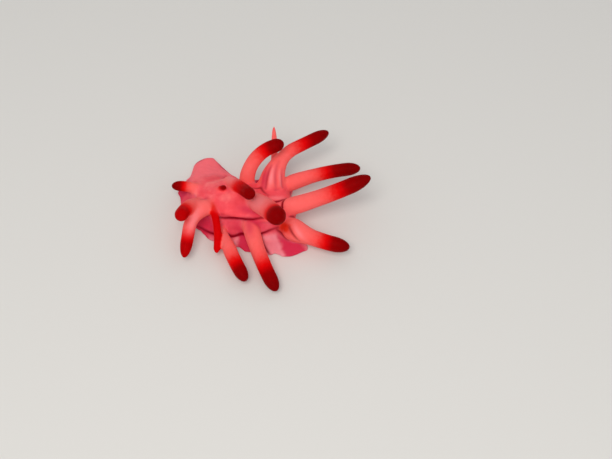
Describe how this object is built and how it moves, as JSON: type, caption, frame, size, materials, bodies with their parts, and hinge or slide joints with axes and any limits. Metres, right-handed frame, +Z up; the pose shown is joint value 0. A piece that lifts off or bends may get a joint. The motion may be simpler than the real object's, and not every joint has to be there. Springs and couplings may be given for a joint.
{
  "type": "phyllodesmium nudibranch",
  "caption": "Pink sea slug, life size, with a pleated flat foot, a low domed back and long finger-like cerata with dark red tips.",
  "frame": {"origin": "on the flat sole, under the middle of the foot", "axes": "+X towards the head, +Y towards the animal's left, +Z up from the sole"},
  "size_m": [0.0391, 0.0354, 0.0137],
  "materials": {
    "body_flesh": "wet, soft pink",
    "foot_flesh": "wet, purplish pink",
    "process_flesh": "wet, coral pink deepening to dark red tips"
  },
  "bodies": {
    "root": {"back_front": "body_flesh", "back_rear": "body_flesh", "ceras_crest": "process_flesh", "ceras_left_arch": "process_flesh", "ceras_left_slim": "process_flesh", "ceras_rear_left": "process_flesh", "ceras_rear_raised": "process_flesh", "ceras_right_front": "process_flesh", "ceras_right_low": "process_flesh", "ceras_right_middle": "process_flesh", "ceras_right_rear": "process_flesh", "ceras_shoulder": "process_flesh", "ceras_young": "process_flesh", "foot": "foot_flesh", "head": "body_flesh", "oral_tentacle_left": "process_flesh", "oral_tentacle_right": "process_flesh", "rhinophore_left": "process_flesh", "rhinophore_right": "process_flesh", "tail": "foot_flesh"}
  },
  "joints": []
}
